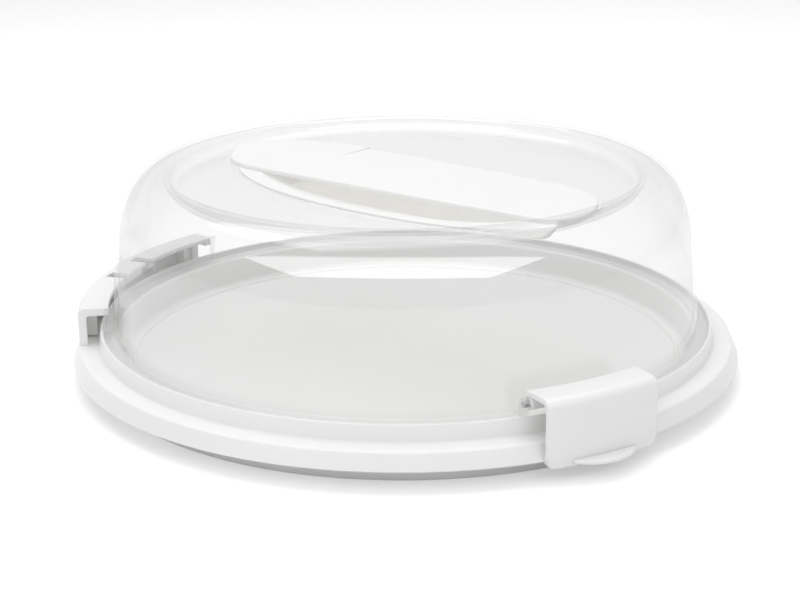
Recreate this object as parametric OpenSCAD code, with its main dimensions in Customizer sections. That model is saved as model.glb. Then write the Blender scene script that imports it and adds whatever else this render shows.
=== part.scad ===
// Round cake carrier: white tray, clear domed lid with a sunk grip, rear hinge and front latch.
// Millimetres, +Z up. The origin is the centre of the ring that the tray stands on.
// The latch faces -Y. Angles are measured from +X, as seen from above.

/* [Tray] */
// Radius of the tray at the lower edge of its skirt
tray_r = 173; // [165:1:185]
// How far the skirt leans in between its lower edge and the rim
skirt_lean = 3; // [1:0.5:5]
// Height of the skirt's lower edge above the table
skirt_z = 10.2; // [8:0.2:12]
// Height of the flat rim above the table
rim_z = 18.8; // [17:0.2:20]
// Width of the flat rim, from its outer edge to the raised lip
rim_w = 10.4; // [9:0.2:12]
// Wall of the tray
tray_wall = 2.4; // [1.8:0.1:2.8]
// Height of the lip that stands round the lid's foot
lip_z = 27.2; // [26:0.2:28]
// Thickness of that lip at its top
lip_w = 1.4; // [1:0.1:1.8]
// Height of the shelf that the lid rests on
seat_z = 24; // [23:0.2:24.6]
// Width of that shelf
seat_w = 7; // [6:0.2:8]
// Height of the cake floor
floor_z = 9; // [8:0.2:10]
// Width of the slope between the bead round the cake floor and the shelf
slope_w = 7.1; // [6.8:0.1:12]
// Height of that bead
bead_h = 1.2; // [0.6:0.1:2]
// Width of the ring that the tray stands on
foot_w = 2.4; // [2:0.1:3]
// Number of ribs under the floor
rib_count = 16; // [8:2:24]
// Number of ribs between the skirt and the standing ring
skirt_rib_count = 48; // [24:4:60]
// Thickness of the ribs
rib_w = 1.6; // [1:0.1:2.4]

/* [Lid] */
// Height of the lid's crest above the table
crest_z = 107.3; // [98:0.5:116]
// Radius of the crest
crest_r = 124; // [116:1:128]
// Height of the sunk top
top_z = 99; // [92:0.5:101]
// Height at which the wall turns into the shoulder
shoulder_z = 69.2; // [60:0.5:76]
// How far the wall leans in, in millimetres for each millimetre of height
wall_lean = 0.09; // [0.02:0.01:0.12]
// Wall of the lid
lid_wall = 2; // [1.6:0.1:2.4]
// Thickness of the lid's foot
lid_foot_h = 3; // [2.4:0.1:3.6]
// How far the lid's foot stands out from the wall
lid_foot_w = 4.6; // [3.6:0.2:5]
// Gap between the lid's foot and the lip
foot_gap = 0.4; // [0.3:0.05:0.6]

/* [Grip] */
// Direction of the grip's long axis
grip_az = -68.5; // [-90:0.5:-60]
// Length of the grip bar
grip_l = 224; // [212:1:225]
// Width of the grip bar
grip_w = 68; // [60:1:70]
// Thickness of the grip bar
grip_t = 2.8; // [2.4:0.1:3.4]
// How far the bar's middle stands from the lid's middle, towards the latch
grip_s = 4.5; // [3:0.5:5]
// Half length of the finger pan's rim
pan_l = 110; // [108:0.5:110.5]
// Width of the flat land at each end of the finger pan
pan_land = 15; // [14:0.5:22]
// Reach of the finger pan in front of the grip's axis
pan_front = 63; // [56:1:66]
// Reach of the finger pan behind the grip's axis
pan_back = 28; // [26:0.5:30]
// Depth of the finger pan below its rim
pan_depth = 17; // [13:1:19]
// Width of the pan's rim that lies on the lid
pan_rim_w = 4; // [3:0.2:5]
// Thickness of the pan
pan_wall = 1.8; // [1.4:0.1:2.2]
// Length of the sloped thumb rest on the bar
thumb_l = 123; // [100:1:130]
// Width of that thumb rest
thumb_w = 29; // [20:1:32]
// How far the thumb rest falls towards the bar's back edge
thumb_drop = 1.1; // [0.6:0.1:1.6]

/* [Latch] */
// Direction of the latch
latch_az = -90; // [-100:0.5:-80]
// Width of the latch
latch_w = 60; // [50:1:70]
// Height of the latch's top
latch_z = 40.2; // [39.8:0.1:42]
// How far inside the foot of the tray's lip the latch's top begins
latch_edge_in = 0.6; // [0:0.1:1.4]
// Wall of the latch
latch_wall = 2.5; // [2.1:0.1:2.9]
// Gap between the skirt and the latch's wall
latch_gap = 1.4; // [1:0.1:2]
// Height of the latch's lower edge
latch_low_z = 7.6; // [6.6:0.2:8.6]
// Height of the latch's catch bead
catch_h = 2.2; // [1.6:0.1:2.4]
// Gap between the catch bead and the skirt's edge
catch_gap = 0.35; // [0.3:0.05:0.5]
// Width of the thumb tab
tab_w = 34; // [26:1:40]
// How far the thumb tab stands out
tab_out = 7.5; // [5:0.5:10]
// Thickness of the thumb tab
tab_t = 2; // [1.6:0.1:2.6]

/* [Hinge] */
// Direction of the hinge
hinge_az = 132.5; // [110:0.5:150]
// Width of the hinge hood round the rim, in degrees
hood_span = 52; // [46:1:58]
// Height of the hood's top
hood_z = 38.6; // [38:0.2:40]
// Wall of the hood
hood_wall = 2.5; // [2.1:0.1:2.9]
// Gap between the lid's wall and the hood's inner edge
hood_gap = 2.6; // [2.4:0.1:3]

/* [Pins] */
// Radius of the latch pin and the hinge pin
pin_r = 1.5; // [1.2:0.1:1.7]
// Radial running clearance round a pin
run_gap = 0.05; // [0.02:0.01:0.08]
// Radius of the barrels round the pins
barrel_r = 3.1; // [2.8:0.1:3.2]
// Side gap between pieces that turn past each other
side_gap = 0.4; // [0.3:0.05:0.6]
// Height of the latch pin
latch_pin_z = 34.2; // [33.8:0.2:34.4]
// Height of the hinge pin
hinge_pin_z = 34; // [33.6:0.2:34.4]
// How far the hinge pin stands out from the lid's wall
hinge_pin_out = 7.2; // [7:0.1:8]
// How far the latch pin stands out from the lid's wall
latch_pin_out = 6.6; // [6.5:0.1:7]
// Thickness of the lid's latch ears
ear_t = 2.4; // [2:0.1:3]
// Width of each hinge lug on the lid
lug_w = 7; // [6:0.5:9]
// Width of the hinge's middle knuckle
knuckle_w = 22; // [16:1:28]
// Width of each of the hinge's outer knuckles
end_knuckle_w = 9; // [7:0.5:12]

/* [Hidden] */
$fn = 180;
slack = 0.5;

white = "#f1f1ef";
clear = [0.86, 0.88, 0.91, 0.35];

// Tray radii, from the rim inwards
rim_r = tray_r - skirt_lean;
lip_foot_r = rim_r - rim_w;
lip_r = lip_foot_r - lip_w - 0.9;
seat_r = lip_r - seat_w;
foot_r = lip_foot_r - 1.6;
slope_r = seat_r - slope_w;
slope_bend = 4;
bead_r = slope_r - bead_h;
floor_under_z = floor_z - tray_wall;
rib_foot_z = 2;
rib_end_r = bead_r - 2;
rib_rings = [rib_end_r - 80, rib_end_r - 35];
hub_r = 16;
edge_r = 1.5;

// Lid radii
lid_foot_r = lip_r - foot_gap;
wall_r0 = lid_foot_r - lid_foot_w;
wall_z0 = seat_z + lid_foot_h;
shoulder_r = wall_r0 - (shoulder_z - wall_z0) * wall_lean;
step_r = (crest_z - top_z) / 2;
top_r = crest_r - 2 * step_r;
function wall_r(z) = wall_r0 - (z - wall_z0) * wall_lean;

// Latch
latch_pin_u = wall_r(latch_pin_z) + latch_pin_out;
latch_edge_r = lip_foot_r - latch_edge_in;
latch_in_r = tray_r + latch_gap;
latch_out_r = latch_in_r + latch_wall;
latch_turn = 2 * asin(latch_w / 2 / latch_edge_r) + 4;
catch_r = tray_r + catch_gap;
latch_corner_r = 4;
ear_v = latch_w / 2 + side_gap;

// Hinge
hinge_pin_u = wall_r(hinge_pin_z) + hinge_pin_out;
hood_out_r = rim_r - 0.4;
hood_edge_r = wall_r(hood_z) + hood_gap;
hood_half = hood_span / 2;
window_r = hinge_pin_u + barrel_r + 1.2;
lug_v = knuckle_w / 2 + side_gap;
end_knuckle_v = lug_v + lug_w + side_gap;
hinge_half = end_knuckle_v + end_knuckle_w;
web_azs = [-21, -11, 11, 21];
web_w = 2.4;
post_r = 2.5;
post_u = (lip_foot_r + hood_out_r - hood_wall) / 2;
post_low_z = rim_z - tray_wall - 2;

// Grip
pan_rim_t = 1.5;
pan_top_z = top_z + pan_rim_t;
scoop_l = pan_l - pan_land;
pan_steps = 64;
pan_rings = 7;
scoop_front = 52;
scoop_back = 7;
scoop_end = 12;
hole_gap = 0.4;
post_gap = 0.05;
grip_steps = 96;
grip_t0 = -2.5;
grip_post_r = 2.2;
grip_post_s = pan_l - 6.5;
grip_post_t = 10;
thumb_s = grip_s + 9;

// Points of an arc round (u, z) from angle a to angle b
function arc(u, z, r, a, b, n) = [for (i = [0:n]) let (t = a + (b - a) * i / n)
    [u + r * cos(t), z + r * sin(t)]];

// Points of a quarter ellipse from angle a to angle b
function oval(u, z, ru, rz, a, b, n) = [for (i = [0:n]) let (t = a + (b - a) * i / n)
    [u + ru * cos(t), z + rz * sin(t)]];

module at(az) rotate([0, 0, az]) children();

// A bar of radius r along the tangent at distance u and height z, from v = a to v = b
module along(u, z, r, a, b) translate([u, b, z]) rotate([90, 0, 0]) cylinder(r = r, h = b - a);

module rounded(w, h, r) {
    square([w - 2 * r, h], center = true);
    square([w, h - 2 * r], center = true);
    for (x = [-1, 1]) for (y = [-1, 1]) translate([x * (w / 2 - r), y * (h / 2 - r)]) circle(r);
}

// The tray's section: floor, bead, slope, shelf, lip, rim, skirt and standing ring
module tray_section() polygon(concat(
    [[0, floor_z]],
    arc(bead_r, floor_z, bead_h, 180, 12, 7),
    arc(slope_r, floor_z + slope_bend, slope_bend, -90, -20, 5),
    [[seat_r - 1.4, seat_z - 2]],
    arc(seat_r + 0.6, seat_z - 2, 2, 180, 90, 4),
    [[lip_r, seat_z], [lip_r, lip_z - 0.4], [lip_r + 0.4, lip_z], [lip_r + lip_w - 0.4, lip_z],
     [lip_r + lip_w, lip_z - 0.4], [lip_foot_r, rim_z + 0.6], [lip_foot_r + 0.6, rim_z]],
    arc(rim_r - edge_r, rim_z - edge_r, edge_r, 90, 12, 5),
    [[tray_r, skirt_z + 0.4], [tray_r - 0.4, skirt_z], [tray_r - tray_wall, skirt_z],
     [rim_r - tray_wall, rim_z - tray_wall], [foot_r, rim_z - tray_wall], [foot_r, 0.5],
     [foot_r - 0.5, 0], [foot_r - foot_w, 0], [foot_r - foot_w, seat_z - tray_wall],
     [seat_r + tray_wall - 0.2, seat_z - tray_wall],
     [slope_r + slope_bend + 1.2, floor_under_z + 2],
     [slope_r + slope_bend - 0.8, floor_under_z], [0, floor_under_z]]));

// Ribs under the floor, two rings and a small boss at the gate
module floor_ribs() {
    rib_h = floor_under_z - rib_foot_z + slack;
    for (i = [0:rib_count - 1]) at(i * 360 / rib_count)
        translate([hub_r - rib_w, -rib_w / 2, rib_foot_z])
            cube([rib_end_r - hub_r + rib_w, rib_w, rib_h]);
    for (r = rib_rings) translate([0, 0, rib_foot_z]) difference() {
        cylinder(r = r + rib_w / 2, h = rib_h);
        translate([0, 0, -1]) cylinder(r = r - rib_w / 2, h = rib_h + 2);
    }
    translate([0, 0, rib_foot_z]) difference() {
        cylinder(r = hub_r, h = rib_h);
        translate([0, 0, -1]) cylinder(r = hub_r - rib_w, h = rib_h + 2);
    }
}

// Short ribs that tie the skirt to the standing ring under the rim
module skirt_ribs() {
    low_z = skirt_z + 2.4;
    for (i = [0:skirt_rib_count - 1]) at((i + 0.5) * 360 / skirt_rib_count)
        translate([foot_r - 0.4, -rib_w / 2, low_z])
            cube([rim_r - tray_wall - foot_r + 0.8, rib_w, rim_z - tray_wall + slack - low_z]);
}

module tray() color(white) difference() {
    union() {
        rotate_extrude() tray_section();
        floor_ribs();
        skirt_ribs();
    }
    for (a = web_azs) at(hinge_az + a) translate([post_u, 0, skirt_z])
        cylinder(r = post_r + post_gap, h = rim_z - skirt_z + 1);
}

// The hood's section: an outer wall that stands on the rim and a top that reaches the lid
module hood_section() polygon(concat(
    [[hood_out_r - hood_wall, rim_z], [hood_out_r, rim_z]],
    arc(hood_out_r - 3.6, hood_z - 3.6, 3.6, 0, 90, 6),
    [[hood_edge_r + 0.8, hood_z], [hood_edge_r, hood_z - 0.8],
     [hood_edge_r, hood_z - hood_wall]],
    arc(hood_out_r - hood_wall - 1.4, hood_z - hood_wall - 1.4, 1.4, 90, 0, 4)));

module rear_hinge() color(white) at(hinge_az) difference() {
    union() {
        rotate([0, 0, -hood_half]) rotate_extrude(angle = hood_span) hood_section();
        along(hinge_pin_u, hinge_pin_z, barrel_r, -hinge_half, hinge_half);
        for (a = web_azs) at(a) {
            translate([lip_foot_r + 1.2, -web_w / 2, rim_z + 1])
                cube([hood_out_r - 1.4 - lip_foot_r - 1.2, web_w, hood_z - 2.6 - rim_z]);
            translate([post_u, 0, post_low_z])
                cylinder(r = post_r, h = rim_z - post_low_z + 6);
        }
    }
    // windows for the lid's lugs part the barrel into three knuckles
    for (s = [-1, 1]) translate([hood_edge_r - 2, s > 0 ? knuckle_w / 2 : -end_knuckle_v,
        hinge_pin_z - 6]) cube([window_r - hood_edge_r + 2, lug_w + 2 * side_gap, 12]);
    along(hinge_pin_u, hinge_pin_z, pin_r, -hinge_half - 1, hinge_half + 1);
}

module hinge_pin() color("#d9dadb") at(hinge_az)
    along(hinge_pin_u, hinge_pin_z, pin_r, -hinge_half + 0.5, hinge_half - 0.5);

// The lid's section: foot, leaning wall, oval shoulder, crest and sunk top
module dome_section() polygon(concat(
    [[wall_r0 - lid_wall, seat_z], [lid_foot_r - 0.5, seat_z], [lid_foot_r, seat_z + 0.5],
     [lid_foot_r, wall_z0 - 0.6], [lid_foot_r - 0.6, wall_z0], [wall_r0 + 0.8, wall_z0],
     [wall_r0, wall_z0 + 0.8], [shoulder_r, shoulder_z]],
    oval(crest_r, shoulder_z, shoulder_r - crest_r, crest_z - shoulder_z, 6, 90, 14),
    arc(crest_r, crest_z - step_r, step_r, 100, 180, 6),
    arc(top_r, top_z + step_r, step_r, 350, 270, 6),
    [[0, top_z], [0, top_z - lid_wall]],
    arc(top_r, top_z + step_r, step_r + lid_wall, 270, 350, 6),
    arc(crest_r, crest_z - step_r, step_r - lid_wall, 180, 100, 6),
    oval(crest_r, shoulder_z, shoulder_r - crest_r - lid_wall,
         crest_z - shoulder_z - lid_wall, 90, 6, 14),
    [[shoulder_r - lid_wall, shoulder_z]]));

// An ear: a post on the lid's foot that leans out over the tray's lip to the latch pin
module latch_ear(v) difference() {
    union() {
        translate([wall_r0 - 1, v, wall_z0 - 0.6]) cube([lid_foot_w + 0.7, ear_t, 2]);
        translate([0, v + ear_t, 0]) rotate([90, 0, 0]) linear_extrude(ear_t) hull() {
            translate([wall_r0 + 1, lip_z + 0.4]) square([lid_foot_w - 1.3, 1]);
            translate([latch_pin_u, latch_pin_z]) circle(barrel_r);
        }
    }
    along(latch_pin_u, latch_pin_z, pin_r, v - 1, v + ear_t + 1);
}

// A lug: a neck from the lid's wall with a round end on the hinge pin
module hinge_lug(v) difference() {
    union() {
        translate([wall_r(hinge_pin_z) - 4, v, hinge_pin_z - barrel_r])
            cube([hinge_pin_out + 4, lug_w, 2 * barrel_r]);
        along(hinge_pin_u, hinge_pin_z, barrel_r, v, v + lug_w);
    }
    along(hinge_pin_u, hinge_pin_z, pin_r + run_gap, v - 1, v + lug_w + 1);
}

// A cheek: a thin fin that covers the end of the hood
module cheek(a) at(a) translate([wall_r0 - 2.4, -ear_t / 2, wall_z0 - 0.6])
    cube([lid_foot_w + 1.8, ear_t, hood_z - wall_z0 + 0.4]);

module dome() color(clear) difference() {
    union() {
        difference() {
            rotate_extrude() dome_section();
            // the foot is cut back to the wall where the hood stands
            at(hinge_az - hood_half - 0.2) rotate_extrude(angle = hood_span + 0.4)
                translate([wall_r0, seat_z - 1]) square([lid_foot_w + 2, lid_foot_h + 1]);
        }
        difference() {
            union() {
                at(latch_az) {
                    latch_ear(ear_v);
                    latch_ear(-ear_v - ear_t);
                }
                at(hinge_az) {
                    hinge_lug(lug_v);
                    hinge_lug(-lug_v - lug_w);
                    cheek(hood_half + 0.7);
                    cheek(-hood_half - 0.7);
                }
            }
            // nothing of the ears, lugs and cheeks stands inside the wall or in the lip's way
            translate([0, 0, seat_z - 1]) cylinder(r1 = wall_r(seat_z - 1) - 1,
                r2 = wall_r(shoulder_z) - 1, h = shoulder_z - seat_z + 1);
            rotate_extrude() translate([lid_foot_r - 0.6, seat_z - 1])
                square([20, lip_z + 0.4 - seat_z + 1]);
        }
    }
    at(grip_az) translate([0, 0, top_z - lid_wall - 1]) linear_extrude(lid_wall + 2)
        polygon(pan_outline(scoop_l + hole_gap, pan_rim_w - hole_gap, pan_rim_w - hole_gap));
    at(grip_az) grip_posts(grip_post_r + post_gap, top_z - lid_wall - 1, lid_wall + 2);
}

// The bar's four posts, or the holes for them
module grip_posts(r, z, h) for (s = [-1, 1]) for (t = [-1, 1])
    translate([grip_s + s * grip_post_s, grip_t0 + t * grip_post_t, z])
        cylinder(r = r, h = h, $fn = 48);

function power(x, p) = sign(x) * pow(abs(x), p);

// Outline of the grip bar: a long oval, straighter in front than behind
function grip_outline() = [for (i = [0:grip_steps - 1]) let (a = 360 * (i + 0.5) / grip_steps)
    [grip_s + grip_l / 2 * power(cos(a), sin(a) < 0 ? 0.4 : 0.8),
     grip_t0 + grip_w / 2 * power(sin(a), sin(a) < 0 ? 0.4 : 0.8)]];

// Outline of the finger pan with half length l, drawn in by f in front and b behind
function pan_outline(l, f, b) = [for (i = [0:pan_steps - 1]) let (a = 360 * i / pan_steps)
    [grip_s + l * power(cos(a), sin(a) < 0 ? 0.84 : 0.7),
     (sin(a) < 0 ? pan_front - f : pan_back - b) * power(sin(a), sin(a) < 0 ? 0.9 : 0.7)]];

// The scoop: rings that slope down gently from the front and steeply from behind
module scoop(l, d, z0, depth) {
    rings = [for (j = [0:pan_rings - 1]) let (k = j / (pan_rings - 1))
        [for (p = pan_outline(l - scoop_end * k, d + scoop_front * k, d + scoop_back * k))
            [p[0], p[1], z0 - depth * k]]];
    points = [for (r = rings) for (p = r) p];
    n = pan_steps;
    sides = [for (j = [0:pan_rings - 2]) for (i = [0:n - 1])
        each [[j * n + i, j * n + (i + 1) % n, (j + 1) * n + i],
              [j * n + (i + 1) % n, (j + 1) * n + (i + 1) % n, (j + 1) * n + i]]];
    polyhedron(points = points, faces = concat(sides,
        [[for (i = [n - 1:-1:0]) i]], [[for (i = [0:n - 1]) (pan_rings - 1) * n + i]]));
}

module finger_pan() color(white) at(grip_az) difference() {
    union() {
        translate([0, 0, top_z]) linear_extrude(pan_rim_t) polygon(pan_outline(pan_l, 0, 0));
        scoop(scoop_l, pan_rim_w, top_z + slack, pan_depth);
    }
    scoop(scoop_l - pan_wall, pan_rim_w + pan_wall, pan_top_z + 0.1, pan_depth - 0.6);
    grip_posts(grip_post_r + post_gap, top_z - 1, pan_rim_t + 2);
}

// The bar: a flat plate with round ends, a sloped thumb rest and four posts
module grip_bar() color(white) at(grip_az) difference() {
    union() {
        translate([0, 0, pan_top_z]) linear_extrude(grip_t) polygon(grip_outline());
        grip_posts(grip_post_r, top_z - lid_wall, lid_wall + pan_rim_t + 0.5);
    }
    translate([thumb_s - thumb_l / 2, grip_t0 + grip_w / 2 - thumb_w, pan_top_z + grip_t])
        rotate([-atan(thumb_drop / thumb_w), 0, 0]) cube([thumb_l, thumb_w + 5, 5]);
}

// The latch's section: catch bead, outer wall, rounded shoulder and top
module latch_section() polygon(concat(
    [[latch_in_r, latch_low_z + catch_h], [catch_r, latch_low_z + catch_h - 0.6],
     [catch_r, latch_low_z + 0.6], [catch_r + 0.6, latch_low_z],
     [latch_out_r - 0.8, latch_low_z], [latch_out_r, latch_low_z + 0.8]],
    arc(latch_out_r - 5, latch_z - 5, 5, 0, 90, 7),
    [[latch_edge_r + 0.8, latch_z], [latch_edge_r, latch_z - 0.8],
     [latch_edge_r, latch_pin_z - 0.5], [latch_edge_r + 1.8, latch_pin_z - 0.5],
     [latch_edge_r + 1.8, latch_z - latch_wall]],
    arc(latch_in_r - 2.5, latch_z - latch_wall - 2.5, 2.5, 90, 0, 5)));

module front_latch() color(white) at(latch_az) difference() {
    union() {
        intersection() {
            rotate([0, 0, -latch_turn / 2]) rotate_extrude(angle = latch_turn) latch_section();
            // cuts straight sides and rounds the lower corners of the wall
            translate([0, 0, (latch_low_z + latch_z) / 2 + 10]) rotate([90, 0, 90])
                linear_extrude(latch_out_r + 10)
                    rounded(latch_w, latch_z - latch_low_z + 20, latch_corner_r);
        }
        along(latch_pin_u, latch_pin_z, barrel_r, -ear_v + side_gap, ear_v - side_gap);
        thumb_tab();
    }
    along(latch_pin_u, latch_pin_z, pin_r + run_gap, -ear_v - 1, ear_v + 1);
}

// A crescent lip at the lower edge that a thumb pulls out
module thumb_tab() {
    tab_r = (tab_w * tab_w / 4 + tab_out * tab_out) / (2 * tab_out);
    difference() {
        translate([latch_out_r + tab_out - tab_r, 0, latch_low_z + 1.2])
            cylinder(r = tab_r, h = tab_t);
        translate([0, 0, latch_low_z]) cylinder(r = latch_out_r - 1, h = tab_t + 4);
    }
}

module latch_pin() color("#d9dadb") at(latch_az)
    along(latch_pin_u, latch_pin_z, pin_r, -ear_v - ear_t, ear_v + ear_t);

tray();
rear_hinge();
hinge_pin();
dome();
finger_pan();
grip_bar();
front_latch();
latch_pin();
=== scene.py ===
import math
import bpy
import bmesh
from mathutils import Matrix, Vector


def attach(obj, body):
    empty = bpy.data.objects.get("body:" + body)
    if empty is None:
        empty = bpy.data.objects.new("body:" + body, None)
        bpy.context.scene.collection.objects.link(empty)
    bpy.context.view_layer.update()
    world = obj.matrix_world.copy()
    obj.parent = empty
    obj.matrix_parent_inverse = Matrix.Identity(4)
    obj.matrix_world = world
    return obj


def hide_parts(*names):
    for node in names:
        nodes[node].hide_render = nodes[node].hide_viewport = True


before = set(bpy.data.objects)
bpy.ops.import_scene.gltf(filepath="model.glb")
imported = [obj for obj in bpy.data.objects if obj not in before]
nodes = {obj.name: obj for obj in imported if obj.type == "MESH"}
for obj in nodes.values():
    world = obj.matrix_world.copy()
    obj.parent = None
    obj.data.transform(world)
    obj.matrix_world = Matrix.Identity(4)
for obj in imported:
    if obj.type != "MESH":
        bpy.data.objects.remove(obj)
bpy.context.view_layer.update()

mm = 0.001  # the frame is in metres, the sizes below are in millimetres


# materials

def linear(hexColour):
    # an sRGB hex value to Blender's linear colour
    out = []
    for i in (0, 2, 4):
        c = int(hexColour[i:i + 2], 16) / 255
        out.append(c / 12.92 if c <= 0.04045 else ((c + 0.055) / 1.055) ** 2.4)
    return (*out, 1)


def addNode(tree, kind, settings=None, values=None, links=None):
    # one node, with its settings, its socket values and what feeds its sockets
    node = tree.nodes.new(kind)
    for name, value in (settings or {}).items():
        setattr(node, name, value)
    for name, value in (values or {}).items():
        node.inputs[name].default_value = value
    for name, source in (links or {}).items():
        tree.links.new(source, node.inputs[name])
    return node


def newMaterial(name):
    material = bpy.data.materials.new(name)
    material.use_nodes = True
    material.node_tree.nodes.clear()
    return material, material.node_tree


def anyOf(tree, *sockets):
    # 1 where at least one of the sockets is 1
    out = sockets[0]
    for socket in sockets[1:]:
        most = addNode(tree, "ShaderNodeMath", {"operation": "MAXIMUM"}, None, {0: out, 1: socket})
        out = most.outputs[0]
    return out


# Polypropylene, injection moulded with a fine satin skin: soft wide highlights and a faint cloudy
# flow. Its grain is drawn 0.7 mm wide, coarser than the real skin, so that it shows close up.
def whitePolypropylene(name, colour, milky):
    look = {"colour": colour, "flowColour": "f1f1f0", "roughness": 0.34, "roughnessSpread": 0.06,
            "flowMm": 45, "grainMm": 0.7, "grainDepth": 0.02, "glowMm": 3, "lampColour": "f5f4f2"}
    material, tree = newMaterial(name)
    coords = addNode(tree, "ShaderNodeTexCoord")
    flow = addNode(tree, "ShaderNodeTexNoise", None,
                   {"Scale": 1 / (look["flowMm"] * mm), "Detail": 2},
                   {"Vector": coords.outputs["Object"]})
    tint = addNode(tree, "ShaderNodeMix", {"data_type": "RGBA"},
                   {6: linear(look["colour"]), 7: linear(look["flowColour"])},
                   {0: flow.outputs["Fac"]})
    gloss = addNode(tree, "ShaderNodeMapRange", None,
                    {"To Min": look["roughness"] - look["roughnessSpread"],
                     "To Max": look["roughness"] + look["roughnessSpread"]},
                    {"Value": flow.outputs["Fac"]})
    grain = addNode(tree, "ShaderNodeTexNoise", None,
                    {"Scale": 1 / (look["grainMm"] * mm), "Detail": 3},
                    {"Vector": coords.outputs["Object"]})
    bump = addNode(tree, "ShaderNodeBump", None,
                   {"Strength": 0.12, "Distance": look["grainDepth"] * mm},
                   {"Height": grain.outputs["Fac"]})
    shader = addNode(tree, "ShaderNodeBsdfPrincipled", None,
                     {"IOR": 1.49, "Subsurface Weight": 0.3,
                      "Subsurface Scale": look["glowMm"] * mm,
                      "Subsurface Radius": (1, 0.98, 0.96)},
                     {"Base Color": tint.outputs[2], "Roughness": gloss.outputs[0],
                      "Normal": bump.outputs["Normal"]})
    # the walls are thin and milky, so some of the lamps' light passes through them
    path = addNode(tree, "ShaderNodeLightPath")
    through = addNode(tree, "ShaderNodeBsdfTransparent", None,
                      {"Color": linear(look["lampColour"])})
    lamps = addNode(tree, "ShaderNodeMixShader", None, {0: milky},
                    {1: shader.outputs["BSDF"], 2: through.outputs[0]})
    mix = addNode(tree, "ShaderNodeMixShader", None, None,
                  {0: path.outputs["Is Shadow Ray"], 1: shader.outputs["BSDF"],
                   2: lamps.outputs[0]})
    addNode(tree, "ShaderNodeOutputMaterial", None, None, {"Surface": mix.outputs[0]})
    return material


# SAN, a clear styrene plastic, moulded in a polished tool: each face of the thin wall gives a faint
# grey veil, deeper where it is seen edge on, and mirrors the studio a little, in slight waves
def clearStyrene():
    look = {"veil": "fafafa", "edgeVeil": "f4f4f4", "veilEdge": 2.5, "mirror": 0.05,
            "edgeMirror": 0.4, "mirrorEdge": 4, "roughness": 0.03, "waveMm": 42, "waveDepth": 0.25}
    material, tree = newMaterial("clear styrene acrylonitrile")
    coords = addNode(tree, "ShaderNodeTexCoord")
    wave = addNode(tree, "ShaderNodeTexNoise", None,
                   {"Scale": 1 / (look["waveMm"] * mm), "Detail": 1},
                   {"Vector": coords.outputs["Object"]})
    bump = addNode(tree, "ShaderNodeBump", None,
                   {"Strength": 0.5, "Distance": look["waveDepth"] * mm},
                   {"Height": wave.outputs["Fac"]})
    edge = addNode(tree, "ShaderNodeLayerWeight", None, {"Blend": 0.5})
    deep = addNode(tree, "ShaderNodeMath", {"operation": "POWER"}, {1: look["veilEdge"]},
                   {0: edge.outputs["Facing"]})
    veil = addNode(tree, "ShaderNodeMix", {"data_type": "RGBA"},
                   {6: linear(look["veil"]), 7: linear(look["edgeVeil"])}, {0: deep.outputs[0]})
    through = addNode(tree, "ShaderNodeBsdfTransparent", None, None, {"Color": veil.outputs[2]})
    mirror = addNode(tree, "ShaderNodeBsdfAnisotropic", None,
                     {"Color": (1, 1, 1, 1), "Roughness": look["roughness"]},
                     {"Normal": bump.outputs["Normal"]})
    graze = addNode(tree, "ShaderNodeMath", {"operation": "POWER"}, {1: look["mirrorEdge"]},
                    {0: edge.outputs["Facing"]})
    share = addNode(tree, "ShaderNodeMapRange", None,
                    {"To Min": look["mirror"], "To Max": look["edgeMirror"]},
                    {"Value": graze.outputs[0]})
    mix = addNode(tree, "ShaderNodeMixShader", None, None,
                  {0: share.outputs[0], 1: through.outputs[0], 2: mirror.outputs[0]})
    addNode(tree, "ShaderNodeOutputMaterial", None, None, {"Surface": mix.outputs[0]})
    return material


# Stainless steel rod, drawn along its length: fine lines that run with the pin
def drawnSteel():
    look = {"colour": "c9cacb", "roughness": 0.28, "lineMm": 0.25, "lineDepth": 0.01}
    material, tree = newMaterial("drawn stainless steel")
    coords = addNode(tree, "ShaderNodeTexCoord")
    stretch = addNode(tree, "ShaderNodeMapping", None, {"Scale": (0.04, 0.04, 1)},
                      {"Vector": coords.outputs["Object"]})
    lines = addNode(tree, "ShaderNodeTexNoise", None,
                    {"Scale": 1 / (look["lineMm"] * mm), "Detail": 2},
                    {"Vector": stretch.outputs[0]})
    bump = addNode(tree, "ShaderNodeBump", None,
                   {"Strength": 0.2, "Distance": look["lineDepth"] * mm},
                   {"Height": lines.outputs["Fac"]})
    shader = addNode(tree, "ShaderNodeBsdfPrincipled", None,
                     {"Base Color": linear(look["colour"]), "Roughness": look["roughness"],
                      "Metallic": 1.0},
                     {"Normal": bump.outputs["Normal"]})
    addNode(tree, "ShaderNodeOutputMaterial", None, None, {"Surface": shader.outputs["BSDF"]})
    return material


white = whitePolypropylene("moulded white polypropylene", "f5f5f5", 0.4)
# The thin copy is the same plastic. It lets more lamp light through, as its thin walls do, and its
# darker colour is painted shade that tones down the brightly lit grip bar and finger pan.
thinShadedWhite = whitePolypropylene("thin white polypropylene with painted shade", "ededed", 0.95)
clear = clearStyrene()
steel = drawnSteel()

for name in ("hinge_pin", "latch_pin"):
    nodes[name].data.materials.clear()
    nodes[name].data.materials.append(steel)
print("materials are set")


# helpers for the pieces, in millimetres until finishPiece

def arc(u, z, r, a, b, n):
    # points of an arc round (u, z) from angle a to angle b
    steps = [math.radians(a + (b - a) * i / n) for i in range(n + 1)]
    return [(u + r * math.cos(t), z + r * math.sin(t)) for t in steps]


def oval(u, z, ru, rz, a, b, n):
    # points of an oval round (u, z) from angle a to angle b
    steps = [math.radians(a + (b - a) * i / n) for i in range(n + 1)]
    return [(u + ru * math.cos(t), z + rz * math.sin(t)) for t in steps]


def line(bm, points, closed=True):
    # edges through the points, and back to the first where closed
    verts = [bm.verts.new(p) for p in points]
    pairs = zip(verts, verts[1:] + verts[:1] if closed else verts[1:])
    return verts, [bm.edges.new(pair) for pair in pairs]


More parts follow.
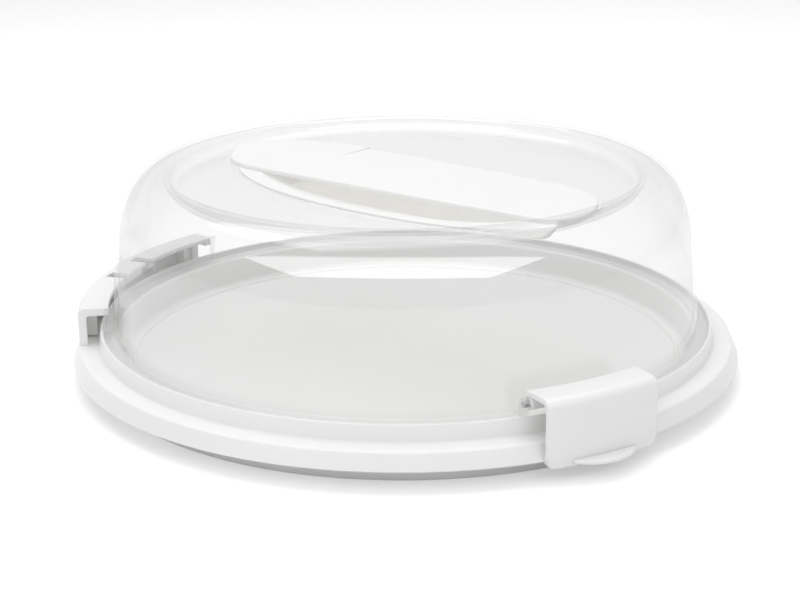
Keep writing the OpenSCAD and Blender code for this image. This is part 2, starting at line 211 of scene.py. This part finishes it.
def spin(bm, profile, steps, closed=True, first=0, span=360):
    # a section in (u, z), turned round the z axis
    verts, edges = line(bm, [(u, 0, z) for u, z in profile], closed)
    bmesh.ops.rotate(bm, cent=(0, 0, 0), matrix=Matrix.Rotation(math.radians(first), 3, "Z"),
                     verts=verts)
    bmesh.ops.spin(bm, geom=verts + edges, cent=(0, 0, 0), axis=(0, 0, 1), dvec=(0, 0, 0),
                   angle=math.radians(span), steps=steps, use_merge=span == 360)


def capEnds(bm, rounding=0, segments=3):
    # faces over the open ends, with their edges rounded
    ends = [e for e in bm.edges if len(e.link_faces) == 1]
    caps = bmesh.ops.holes_fill(bm, edges=ends, sides=0)["faces"]
    if rounding:
        edges = list({e for f in caps for e in f.edges})
        bmesh.ops.bevel(bm, geom=edges, offset=rounding, offset_type="OFFSET", segments=segments,
                        profile=0.5, affect="EDGES", material=-1, clamp_overlap=True)


def bar(bm, section, a, b, stations=1, rounding=0):
    # a closed section in (u, z), carried along v from a to b
    verts, edges = line(bm, [(u, a, z) for u, z in section])
    for i in range(stations):
        out = bmesh.ops.extrude_edge_only(bm, edges=edges)["geom"]
        edges = [g for g in out if isinstance(g, bmesh.types.BMEdge)]
        verts = [g for g in out if isinstance(g, bmesh.types.BMVert)]
        edges = [e for e in edges if all(v in verts for v in e.verts)]
        bmesh.ops.translate(bm, vec=(0, (b - a) / stations, 0), verts=verts)
    capEnds(bm, rounding)


def rod(bm, u, z, r, a, b, rounding=0):
    # a barrel along v from a to b
    other = bmesh.new()
    bar(other, arc(u, z, r, 0, 360, 48)[:-1], a, b, 1, rounding)
    addTo(bm, other)


def block(bm, low, high, turn=0):
    # a rib or web between two corners, turned round z
    size = [b - a for a, b in zip(low, high)]
    middle = [(a + b) / 2 for a, b in zip(low, high)]
    bmesh.ops.create_cube(bm, size=1, matrix=Matrix.Rotation(math.radians(turn), 4, "Z")
                          @ Matrix.Translation(middle) @ Matrix.Diagonal((*size, 1)))


def addTo(bm, other, matrix=None):
    # copies one bmesh into another
    if matrix:
        bmesh.ops.transform(other, matrix=matrix, verts=other.verts)
    mesh = bpy.data.meshes.new("part")
    other.to_mesh(mesh)
    other.free()
    bm.from_mesh(mesh)
    bpy.data.meshes.remove(mesh)


def loft(bm, rings):
    # walls between rings of as many points each
    last = None
    for ring in rings:
        edges = line(bm, ring)[1]
        if last:
            bmesh.ops.bridge_loops(bm, edges=last + edges)
        last = edges


def looseObject(name, bm, place):
    # the bmesh as an object in metres, with no part or place of its own yet
    bmesh.ops.remove_doubles(bm, verts=bm.verts, dist=0.0005)
    bmesh.ops.recalc_face_normals(bm, faces=bm.faces)
    bmesh.ops.transform(bm, matrix=Matrix.Scale(mm, 4) @ place, verts=bm.verts)
    mesh = bpy.data.meshes.new(name)
    bm.to_mesh(mesh)
    bm.free()
    piece = bpy.data.objects.new(name, mesh)
    bpy.context.scene.collection.objects.link(piece)
    return piece


def combine(piece, tool, operation):
    # joins the tool to the piece, or cuts the piece with it
    step = piece.modifiers.new("combine", "BOOLEAN")
    step.operation = operation
    step.solver = "EXACT"
    step.object = tool
    graph = bpy.context.evaluated_depsgraph_get()
    mesh = bpy.data.meshes.new_from_object(piece.evaluated_get(graph))
    piece.modifiers.clear()
    piece.data = mesh
    bpy.data.objects.remove(tool)


def finishPiece(piece, node, body, material, sharp=38):
    # smooth shading with crisp edges, then the material and the body; the node it stands for is
    # hidden
    bm = bmesh.new()
    bm.from_mesh(piece.data)
    for face in bm.faces:
        face.smooth = True
    for edge in bm.edges:
        edge.smooth = edge.calc_face_angle(0) < math.radians(sharp)
    bm.to_mesh(piece.data)
    bm.free()
    piece.data.materials.clear()
    piece.data.materials.append(material)
    shade = piece.modifiers.new("flat faces stay flat", "WEIGHTED_NORMAL")
    shade.keep_sharp = True
    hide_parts(node)
    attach(piece, body)
    print(node, "has", len(piece.data.polygons), "faces")


def turned(degrees):
    # a turn round the z axis
    return Matrix.Rotation(math.radians(degrees), 4, "Z")


# tray: cake floor, bead, slope, shelf, lip, rim, skirt, standing ring and ribs
tray = {"outerR": 173, "rimR": 170, "rimZ": 18.8, "skirtZ": 10.2, "floorZ": 9, "beadR": 142,
        "beadH": 1.2, "slopeR": 143.2, "seatR": 150.3, "seatZ": 24, "lipR": 157.3, "lipZ": 27.2,
        "lipFootR": 159.6, "ringR": 158, "wall": 2.4, "steps": 256, "ribs": 16, "skirtRibs": 48,
        "ribT": 1.6, "ribLowZ": 2, "hubR": 14.4, "ribRings": (15.2, 60, 105), "rimUnderZ": 16.4,
        "skirtInR": 167.6, "ringInR": 155.6, "shelfUnderZ": 21.6}


def makeTray():
    bm = bmesh.new()
    t = tray
    under = t["floorZ"] - t["wall"]
    section = [(0, t["floorZ"]), (40, t["floorZ"]), (90, t["floorZ"])]
    section += arc(t["beadR"], t["floorZ"], t["beadH"], 180, 14, 12)
    section += arc(t["slopeR"], t["floorZ"] + 4, 4, -90, -20, 8)
    section += arc(t["seatR"] + 0.6, t["seatZ"] - 2, 2, 180, 90, 8)
    section += arc(t["lipR"] - 0.6, t["seatZ"] + 0.6, 0.6, -90, 0, 4)
    section += arc(t["lipR"] + 0.5, t["lipZ"] - 0.5, 0.5, 180, 90, 4)
    section += arc(t["lipR"] + 0.9, t["lipZ"] - 0.5, 0.5, 90, 0, 4)
    section += arc(t["lipFootR"] + 1.1, t["rimZ"] + 1.1, 1.1, 180, 270, 6)
    section += arc(t["rimR"] - 1.5, t["rimZ"] - 1.5, 1.5, 90, 14, 8)
    section += arc(t["outerR"] - 0.5, t["skirtZ"] + 0.5, 0.5, 14, -90, 5)
    section += arc(t["outerR"] - 1.9, t["skirtZ"] + 0.5, 0.5, -90, -160, 4)
    section += [(t["skirtInR"], t["rimUnderZ"]), (t["ringR"], t["rimUnderZ"])]
    section += arc(t["ringR"] - 0.6, 0.6, 0.6, 0, -90, 4)
    section += arc(t["ringR"] - 1.8, 0.6, 0.6, -90, -180, 4)
    section += [(t["ringInR"], t["shelfUnderZ"]), (152.5, t["shelfUnderZ"]), (148.4, under + 2),
                (146.4, under), (90, under), (40, under), (0, under)]
    spin(bm, section, t["steps"], closed=False)
    half = t["ribT"] / 2
    low = t["ribLowZ"]
    for i in range(t["ribs"]):
        block(bm, (t["hubR"], -half, low), (t["beadR"] - 2, half, under + 0.2),
              i * 360 / t["ribs"])
    for i in range(t["skirtRibs"]):
        block(bm, (157.7, -half, 12.6), (167.9, half, 16.6), (i + 0.5) * 360 / t["skirtRibs"])
    for r in t["ribRings"]:
        spin(bm, [(r - half, low), (r + half, low), (r + half, under + 0.2),
                  (r - half, under + 0.2)], 96)
    piece = looseObject("cakeTray", bm, Matrix.Identity(4))
    finishPiece(piece, "tray", "base", white)


makeTray()


# grip outlines, shared by the lid, the finger pan and the bar
grip = {"turn": -68.5, "middle": 4.5, "width": 68, "back": -2.5, "thick": 2.8, "panL": 110,
        "panFront": 66.5, "panBack": 28, "panLean": 0.28, "scoopL": 95, "scoopWall": 1.8,
        "scoopIn": 12, "scoopFront": 52, "scoopBack": 7, "depth": 17, "scoopDepth": 16.4,
        "topZ": 99, "panTopZ": 100.5, "thumbLow": -48, "thumbHigh": 75, "thumbWidth": 29,
        "thumbDrop": 1.1, "postR": 2.2, "postL": 1.9, "postS": 103.5, "postT": 10,
        "postZ": 99.97}
# corners of the bar's outline, along and across the grip
barCorners = [(-64, -38), (-38, -37.6), (-6, -37), (25, -36.4), (55, -35.8), (83, -35),
              (98, -34.6), (109, -33), (116, -28), (119.2, -20), (118.8, -10), (115, 1.5),
              (108, 12), (98, 19.8), (84, 25), (68, 27.4), (39, 30), (5, 31.7), (-29, 32.2),
              (-61, 30), (-86, 24), (-102, 14.5), (-108.5, 4), (-107.6, -7), (-102.4, -18.5),
              (-93.5, -30), (-82, -36.6)]


def power(x, p):
    # a power that keeps the sign
    return math.copysign(abs(x) ** p, x)


def panOutline(l, f, b, z, n=224):
    # half its length, how far it stays in from the front and back, and its height
    out = []
    for i in range(n):
        a = 2 * math.pi * (i + 0.5) / n
        front = math.sin(a) < 0
        reach = grip["panFront"] - f if front else grip["panBack"] - b
        t = reach * power(math.sin(a), 0.9 if front else 0.7)
        lean = grip["panLean"] * max(0, -t)
        out.append((grip["middle"] + l * power(math.cos(a), 0.84 if front else 0.7) + lean, t, z))
    return out


def barOutline(z, n=10):
    # a smooth closed curve through the corners
    out = []
    count = len(barCorners)
    for i in range(count):
        p = [Vector(barCorners[(i + j) % count]) for j in (-1, 0, 1, 2)]
        for j in range(n):
            k = j / n
            q = 0.5 * (2 * p[1] + (p[2] - p[0]) * k
                       + (2 * p[0] - 5 * p[1] + 4 * p[2] - p[3]) * k * k
                       + (3 * p[1] - p[0] - 3 * p[2] + p[3]) * k * k * k)
            out.append((q.x, q.y, z))
    return out


# lid: foot, leaning wall, oval shoulder, crest, sunk top, ears, lugs and cheeks
lid = {"footZ": 24, "footR": 156.9, "wallR": 152.3, "wallZ": 27, "shoulderR": 148.5,
       "shoulderZ": 69.2, "crestR": 124, "crestZ": 107.3, "stepR": 4.15, "topZ": 99, "wall": 2,
       "steps": 224, "hoodTurn": 132.5, "hoodHalf": 26.2, "eyeR": 3.1, "latchTurn": -90,
       "latchPinU": 158.252, "latchPinZ": 34.2, "ears": (30.4, -32.8), "earT": 2.4,
       "hingePinU": 158.87, "hingePinZ": 34, "lugs": (11.4, -18.4), "lugT": 7, "cheekTurn": 26.7}


def makeLid():
    bm = bmesh.new()
    k = lid
    crest = k["crestZ"] - k["stepR"]
    reach = k["shoulderR"] - k["crestR"]
    rise = k["crestZ"] - k["shoulderZ"]
    stepR = k["crestR"] - 2 * k["stepR"]
    section = arc(stepR, crest, k["stepR"], 270, 350, 12)
    section += arc(k["crestR"], crest, k["stepR"], 172, 98, 12)
    section += oval(k["crestR"], k["shoulderZ"], reach, rise, 90, 3, 40)
    section += [(k["shoulderR"], k["shoulderZ"])]
    section += arc(k["wallR"] + 0.8, k["wallZ"] + 0.8, 0.8, 180, 270, 4)
    section += arc(k["footR"] - 0.6, k["wallZ"] - 0.6, 0.6, 90, 0, 4)
    section += arc(k["footR"] - 0.5, k["footZ"] + 0.5, 0.5, 0, -90, 4)
    section += [(k["wallR"] - k["wall"], k["footZ"]), (k["shoulderR"] - k["wall"], k["shoulderZ"])]
    section += oval(k["crestR"], k["shoulderZ"], reach - k["wall"], rise - k["wall"], 3, 90, 40)
    section += arc(k["crestR"], crest, k["stepR"] - k["wall"], 98, 172, 8)
    section += arc(stepR, crest, k["stepR"] + k["wall"], 350, 270, 12)
    spin(bm, section, k["steps"], closed=False)
    bmesh.ops.remove_doubles(bm, verts=bm.verts, dist=0.0005)
    # the foot is cut back to the wall where the hood stands
    for v in bm.verts:
        away = (math.degrees(math.atan2(v.co.y, v.co.x)) - k["hoodTurn"] + 180) % 360 - 180
        r = math.hypot(v.co.x, v.co.y)
        if v.co.z < k["wallZ"] + 0.75 and r > k["wallR"] and abs(away) < k["hoodHalf"]:
            v.co.x *= k["wallR"] / r
            v.co.y *= k["wallR"] / r
    # the sunk top runs in to the opening for the finger pan
    rims = []
    for z in (k["topZ"], k["topZ"] - k["wall"]):
        outer = [e for e in bm.edges if len(e.link_faces) == 1
                 and abs(e.verts[0].co.z - z) < 0.01 and abs(e.verts[1].co.z - z) < 0.01]
        hole = [turned(grip["turn"]) @ Vector(p)
                for p in panOutline(grip["scoopL"] + 0.4, 3.6, 3.6, z, k["steps"])]
        rims.append(line(bm, hole)[1])
        bmesh.ops.bridge_loops(bm, edges=outer + rims[-1])
    bmesh.ops.bridge_loops(bm, edges=rims[0] + rims[1])
    piece = looseObject("clearLid", bm, Matrix.Identity(4))

    ears = bmesh.new()
    for a in k["ears"]:
        ear = bmesh.new()
        section = [(150.2, 26.5), (152.9, 26.5), (152.9, 27.65), (156.6, 27.65)]
        section += arc(k["latchPinU"], k["latchPinZ"], k["eyeR"], -41, 163, 20)
        section += [(153.3, 28.6), (150.2, 28.4)]
        bar(ear, section, a, a + k["earT"])
        addTo(ears, ear, turned(k["latchTurn"]))
    for a in k["lugs"]:
        lug = bmesh.new()
        section = [(149.9, 30.9)]
        section += arc(k["hingePinU"], k["hingePinZ"], k["eyeR"], -90, 90, 18)
        section += [(149.9, 37.1)]
        bar(lug, section, a, a + k["lugT"])
        addTo(ears, lug, turned(k["hoodTurn"]))
    for a in (-k["cheekTurn"], k["cheekTurn"]):
        block(ears, (150.6, -1.2, 26.4), (156.25, 1.2, 38.4), k["hoodTurn"] + a)
    combine(piece, looseObject("lidEars", ears, Matrix.Identity(4)), "UNION")
    finishPiece(piece, "dome", "lid", clear, 30)


makeLid()


def fillBelow(bm, z):
    # a face over the open edges that lie lower than z
    low = [e for e in bm.edges if len(e.link_faces) == 1 and all(v.co.z < z for v in e.verts)]
    bmesh.ops.holes_fill(bm, edges=low, sides=0)


# finger pan: a flat rim on the lid's top and a scoop, gentle in front and steep behind
def makePan():
    bm = bmesh.new()
    g = grip
    top = g["panTopZ"]
    rings = [panOutline(g["scoopL"], 4, 4, g["topZ"]),
             panOutline(g["panL"] - 0.3, 0.3, 0.3, g["topZ"])]
    for u, z in arc(0.5, top - 0.5, 0.5, 180, 90, 4):
        rings.append(panOutline(g["panL"] - u, u, u, z))
    length = g["scoopL"] - g["scoopWall"]
    edge = 4 + g["scoopWall"]
    for u, z in arc(-0.9, top - 0.9, 0.9, 90, 20, 5):
        rings.append(panOutline(length - u, edge + u, edge + u, z))
    # the scoop's inside, which levels out over its last fifth
    for i in range(2, 25):
        k = i / 24
        level = 0.06 * max(0, k - 0.8) / 0.2
        rings.append(panOutline(length - g["scoopIn"] * k, edge + g["scoopFront"] * k,
                                edge + g["scoopBack"] * k,
                                top + 0.1 - g["scoopDepth"] * (k - level * (k - 0.8) / 0.4)))
    loft(bm, rings)
    fillBelow(bm, 90)
    outer = [rings[0]]
    for i in range(1, 13):
        k = i / 12
        outer.append(panOutline(g["scoopL"] - g["scoopIn"] * k, 4 + g["scoopFront"] * k,
                                4 + g["scoopBack"] * k, g["topZ"] + 0.5 - g["depth"] * k))
    loft(bm, outer)
    fillBelow(bm, 83)
    piece = looseObject("fingerPan", bm, turned(g["turn"]))
    finishPiece(piece, "finger_pan", "lid", thinShadedWhite)


makePan()


# grip bar: a plate with rounded edges, a sloped thumb rest and posts into the lid
def makeBar():
    bm = bmesh.new()
    g = grip
    low = g["panTopZ"]
    loft(bm, [barOutline(low), barOutline(low + g["thick"])])
    capEnds(bm)
    top = [e for e in bm.edges if all(abs(v.co.z - low - g["thick"]) < 0.01 for v in e.verts)]
    bottom = [e for e in bm.edges if all(abs(v.co.z - low) < 0.01 for v in e.verts)]
    bmesh.ops.bevel(bm, geom=top, offset=1.2, offset_type="OFFSET", segments=5, profile=0.5,
                    affect="EDGES", material=-1)
    bmesh.ops.bevel(bm, geom=bottom, offset=0.7, offset_type="OFFSET", segments=3, profile=0.5,
                    affect="EDGES", material=-1)
    foot = g["back"] + g["width"] / 2 - g["thumbWidth"]
    for s in (g["thumbLow"] - 0.15, g["thumbLow"], g["thumbHigh"], g["thumbHigh"] + 0.15):
        bmesh.ops.bisect_plane(bm, geom=bm.verts[:] + bm.edges[:] + bm.faces[:], dist=0.0001,
                               plane_co=(s, 0, 0), plane_no=(1, 0, 0))
    bmesh.ops.bisect_plane(bm, geom=bm.verts[:] + bm.edges[:] + bm.faces[:], dist=0.0001,
                           plane_co=(0, foot, 0), plane_no=(0, 1, 0))
    for v in bm.verts:
        if g["thumbLow"] - 0.01 < v.co.x < g["thumbHigh"] + 0.01 and v.co.y > foot:
            share = min(1, max(0, (v.co.z - low - 0.5) / 1.2))
            v.co.z -= share * g["thumbDrop"] * (v.co.y - foot) / g["thumbWidth"]
    for s in (-1, 1):
        for t in (-1, 1):
            post = bmesh.new()
            bmesh.ops.create_cone(post, cap_ends=True, segments=40, radius1=g["postR"],
                                  radius2=g["postR"], depth=g["postL"])
            addTo(bm, post, Matrix.Translation((g["middle"] + g["postS"] * s,
                                                g["back"] + g["postT"] * t, g["postZ"])))
    piece = looseObject("gripBar", bm, turned(g["turn"]))
    finishPiece(piece, "grip_bar", "lid", thinShadedWhite)


makeBar()


# front latch: a curved clip with straight sides, a barrel on the pin and a crescent thumb tab
latch = {"turn": -90, "half": 30, "topZ": 40.2, "lowZ": 7.6, "inR": 174.4, "outR": 176.9,
         "edgeR": 159, "catchR": 173.35, "cornerR": 4, "pinU": 158.252, "pinZ": 34.2,
         "barrelR": 3.1, "tabW": 34, "tabOut": 7.5, "tabT": 2}


def makeLatch():
    bm = bmesh.new()
    k = latch
    section = [(k["inR"], 9.8)]
    section += arc(k["catchR"] + 0.6, k["lowZ"] + 1.6, 0.6, 150, 180, 2)
    section += arc(k["catchR"] + 0.6, k["lowZ"] + 0.6, 0.6, 180, 270, 4)
    section += arc(k["outR"] - 0.9, k["lowZ"] + 0.9, 0.9, -90, 0, 6)
    section += [(k["outR"], k["lowZ"] + 5)]
    section += arc(k["outR"] - 5, k["topZ"] - 5, 5, 0, 90, 12)
    section += arc(k["edgeR"] + 0.8, k["topZ"] - 0.8, 0.8, 90, 180, 5)
    section += [(k["edgeR"], k["pinZ"] - 0.5), (k["edgeR"] + 1.8, k["pinZ"] - 0.5),
                (k["edgeR"] + 1.8, k["topZ"] - 2.5)]
    section += arc(k["inR"] - 2.5, k["topZ"] - 5, 2.5, 90, 0, 8)
    section += [(k["inR"], k["lowZ"] + 5)]
    stations = 40
    bar(bm, section, -1, 1, stations)
    # the stations crowd at the ends, where the lower corners are round
    for v in bm.verts:
        v.co.y = k["half"] * math.sin(v.co.y * math.pi / 2)
    bmesh.ops.remove_doubles(bm, verts=bm.verts, dist=0.0005)
    for v in bm.verts:
        past = abs(v.co.y) - (k["half"] - k["cornerR"])
        if past > 0 and v.co.z < k["lowZ"] + 3:
            v.co.z += k["cornerR"] - math.sqrt(max(0, k["cornerR"] ** 2 - past ** 2))
        elif past > 0 and v.co.z < k["lowZ"] + 6:
            v.co.z = k["lowZ"] + 8
    ends = [f for f in bm.faces if all(abs(abs(v.co.y) - k["half"]) < 0.001 for v in f.verts)]
    edges = list({e for f in ends for e in f.edges})
    bmesh.ops.bevel(bm, geom=edges, offset=0.7, offset_type="OFFSET", segments=4, profile=0.5,
                    affect="EDGES", material=-1, clamp_overlap=True)
    # bends it round the tray
    for v in bm.verts:
        v.co.x = math.sqrt(v.co.x ** 2 - v.co.y ** 2)
    rod(bm, k["pinU"], k["pinZ"], k["barrelR"], -k["half"], k["half"], 0.4)
    r = (k["tabW"] ** 2 / 4 + k["tabOut"] ** 2) / (2 * k["tabOut"])
    tab = bmesh.new()
    bmesh.ops.create_cone(tab, cap_ends=True, segments=144, radius1=r, radius2=r, depth=k["tabT"])
    rim = [e for e in tab.edges if abs(e.verts[0].co.z - e.verts[1].co.z) < 0.01]
    bmesh.ops.bevel(tab, geom=rim, offset=0.7, offset_type="OFFSET", segments=4, profile=0.5,
                    affect="EDGES", material=-1)
    bmesh.ops.translate(tab, verts=tab.verts, vec=(k["outR"] + k["tabOut"] - r, 0,
                                                   k["lowZ"] + 1.2 + k["tabT"] / 2))
    bmesh.ops.bisect_plane(tab, geom=tab.verts[:] + tab.edges[:] + tab.faces[:], dist=0.0001,
                           plane_co=(k["outR"] - 1.3, 0, 0), plane_no=(1, 0, 0), clear_inner=True)
    capEnds(tab)
    addTo(bm, tab)
    piece = looseObject("frontLatch", bm, turned(k["turn"]))
    finishPiece(piece, "front_latch", "latch", white)


makeLatch()


# rear hinge: a hood on the rim with slots for the lid's lugs, knuckles and webs
hood = {"turn": 132.5, "span": 52, "outR": 169.6, "topZ": 38.6, "edgeR": 153.86, "wall": 2.5,
        "rimZ": 18.8, "pinU": 158.87, "pinZ": 34, "barrelR": 3.1, "endWall": 4.3, "endSpan": 1.6,
        "slotLow": 11, "slotHigh": 18.8, "knuckles": ((-27.8, -18.8), (-11, 11), (18.8, 27.8)),
        "webs": (-21, -11, 11, 21), "webT": 2.4}


def hoodSection(wall):
    k = hood
    inR = k["outR"] - wall
    section = [(inR, k["rimZ"]), (k["outR"], k["rimZ"])]
    section += arc(k["outR"] - 3.6, k["topZ"] - 3.6, 3.6, 0, 90, 10)
    section += arc(k["edgeR"] + 0.8, k["topZ"] - 0.8, 0.8, 90, 180, 5)
    section += arc(k["edgeR"] + 0.5, k["topZ"] - wall + 0.5, 0.5, 180, 270, 3)
    return section + arc(inR - 1.4, k["topZ"] - wall - 1.4, 1.4, 90, 0, 6)


def makeHood():
    k = hood
    bm = bmesh.new()
    spin(bm, hoodSection(k["wall"]), 72, first=0.3 - k["span"] / 2, span=k["span"] - 0.6)
    capEnds(bm, 0.1)
    piece = looseObject("hingeHood", bm, Matrix.Identity(4))
    # each open end has a thicker border
    for first in (-k["span"] / 2, k["span"] / 2 - k["endSpan"]):
        border = bmesh.new()
        spin(border, hoodSection(k["endWall"]), 3, first=first, span=k["endSpan"])
        capEnds(border, 0.7)
        combine(piece, looseObject("hoodBorder", border, Matrix.Identity(4)), "UNION")
    slots = bmesh.new()
    block(slots, (151.9, k["slotLow"], 28), (163.2, k["slotHigh"], 40))
    block(slots, (151.9, -k["slotHigh"], 28), (163.2, -k["slotLow"], 40))
    combine(piece, looseObject("hoodSlots", slots, Matrix.Identity(4)), "DIFFERENCE")
    bm = bmesh.new()
    bm.from_mesh(piece.data)
    bpy.data.objects.remove(piece)
    bmesh.ops.scale(bm, vec=(1 / mm, 1 / mm, 1 / mm), verts=bm.verts)
    for a, b in k["knuckles"]:
        rod(bm, k["pinU"], k["pinZ"], k["barrelR"], a, b, 0.4)
    half = k["webT"] / 2
    for a in k["webs"]:
        block(bm, (160.8, -half, k["rimZ"] + 1), (168.2, half, k["topZ"] - 2.6), a)
    piece = looseObject("hingeHood", bm, turned(k["turn"]))
    finishPiece(piece, "rear_hinge", "base", white)


makeHood()
print("pieces are made")


# camera, fitted to the photograph
view = {"turn": -30.5, "down": 19.9, "roll": -0.33, "distance": 955.5, "lens": 81,
        "shiftX": -0.0075, "shiftY": 0.076}
cameraData = bpy.data.cameras.new("camera")
camera = bpy.data.objects.new("camera", cameraData)
bpy.context.scene.collection.objects.link(camera)
cameraData.sensor_width = 36
cameraData.lens = view["lens"]
cameraData.shift_x = view["shiftX"]
cameraData.shift_y = view["shiftY"]
cameraData.clip_start = 0.05
aim = (Matrix.Rotation(math.radians(view["turn"]), 4, "Z")
       @ Matrix.Rotation(math.radians(90 - view["down"]), 4, "X")
       @ Matrix.Rotation(math.radians(view["roll"]), 4, "Z"))
camera.matrix_world = aim @ Matrix.Translation((0, 0, view["distance"] * mm))
bpy.context.scene.camera = camera


# floor, backdrop and light
studio = {"floorSize": 8.0, "floor": "f2f2f2", "lift": 0.3, "world": 0.49, "mirrored": 0.82}


def stagePlane(name, size, matrix, material):
    bm = bmesh.new()
    bmesh.ops.create_grid(bm, x_segments=1, y_segments=1, size=size / 2)
    bmesh.ops.transform(bm, matrix=matrix, verts=bm.verts)
    mesh = bpy.data.meshes.new(name)
    bm.to_mesh(mesh)
    bm.free()
    mesh.materials.append(material)
    plane = bpy.data.objects.new(name, mesh)
    bpy.context.scene.collection.objects.link(plane)
    return plane


def floorMaterial():
    # matt paper, lifted towards white for what the camera sees directly, in gloss and through glass
    material, tree = newMaterial("white paper floor")
    path = addNode(tree, "ShaderNodeLightPath")
    paper = addNode(tree, "ShaderNodeBsdfDiffuse", None, {"Color": linear(studio["floor"])})
    glow = addNode(tree, "ShaderNodeEmission", None,
                   {"Color": (1, 1, 1, 1), "Strength": studio["lift"]})
    both = addNode(tree, "ShaderNodeAddShader", None, None,
                   {0: paper.outputs[0], 1: glow.outputs[0]})
    seen = anyOf(tree, path.outputs["Is Camera Ray"], path.outputs["Is Glossy Ray"],
                 path.outputs["Is Transmission Ray"])
    mix = addNode(tree, "ShaderNodeMixShader", None, None,
                  {0: seen, 1: paper.outputs[0], 2: both.outputs[0]})
    addNode(tree, "ShaderNodeOutputMaterial", None, None, {"Surface": mix.outputs[0]})
    return material


stagePlane("floor", studio["floorSize"], Matrix.Identity(4), floorMaterial())

world = bpy.data.worlds.new("studio")
world.use_nodes = True
bpy.context.scene.world = world
tree = world.node_tree
tree.nodes.clear()
path = addNode(tree, "ShaderNodeLightPath")
# the room as it lights the piece, as gloss mirrors it, and as the camera sees it
levels = [addNode(tree, "ShaderNodeBackground", None, {"Color": (1, 1, 1, 1), "Strength": level})
          for level in (studio["world"], studio["mirrored"], 1.0)]
mirrored = addNode(tree, "ShaderNodeMixShader", None, None,
                   {0: path.outputs["Is Glossy Ray"], 1: levels[0].outputs[0],
                    2: levels[1].outputs[0]})
seen = anyOf(tree, path.outputs["Is Camera Ray"], path.outputs["Is Transmission Ray"])
mix = addNode(tree, "ShaderNodeMixShader", None, None,
              {0: seen, 1: mirrored.outputs[0], 2: levels[2].outputs[0]})
addNode(tree, "ShaderNodeOutputWorld", None, None, {"Surface": mix.outputs[0]})


def softLight(name, place, target, size, power):
    data = bpy.data.lights.new(name, "AREA")
    data.shape = "RECTANGLE"
    data.size, data.size_y = size
    data.energy = power
    lamp = bpy.data.objects.new(name, data)
    bpy.context.scene.collection.objects.link(lamp)
    direction = Vector(target) - Vector(place)
    lamp.matrix_world = (Matrix.Translation(place)
                         @ direction.to_track_quat("-Z", "Y").to_matrix().to_4x4())
    return lamp


# the long panel over the camera, which the lid's shoulder mirrors as a bright band
panel = {"middle": (-0.75, -0.93, 1.0), "turn": -33, "long": 2.7, "deep": 1.1, "power": 9,
         "mirrored": 2.7}
panelPlace = Matrix.Translation(panel["middle"]) @ turned(panel["turn"])


def panelCard():
    material, tree = newMaterial("softbox cloth")
    glow = addNode(tree, "ShaderNodeEmission", None,
                   {"Color": (1, 1, 1, 1), "Strength": panel["mirrored"]})
    addNode(tree, "ShaderNodeOutputMaterial", None, None, {"Surface": glow.outputs[0]})
    shape = Matrix.Translation((0, 0, 0.01)) @ Matrix.Diagonal((panel["long"], panel["deep"], 1, 1))
    card = stagePlane("softboxCloth", 1, panelPlace @ shape, material)
    card.visible_camera = False
    card.visible_diffuse = False
    card.visible_transmission = False
    card.visible_shadow = False


panelCard()
front = softLight("front panel", panel["middle"], (0, 0, 0), (panel["long"], panel["deep"]),
                  panel["power"])
front.matrix_world = panelPlace
overhead = {"middle": (0.05, 0.3, 1.3), "size": (1.6, 1.2), "power": 11}
softLight("overhead softbox", overhead["middle"], (0, 0, 0), overhead["size"], overhead["power"])
print("camera, floor and light are set")

bpy.context.scene.view_settings.view_transform = "Standard"
bpy.context.scene.cycles.transparent_max_bounces = 32  # the lid stacks many clear walls
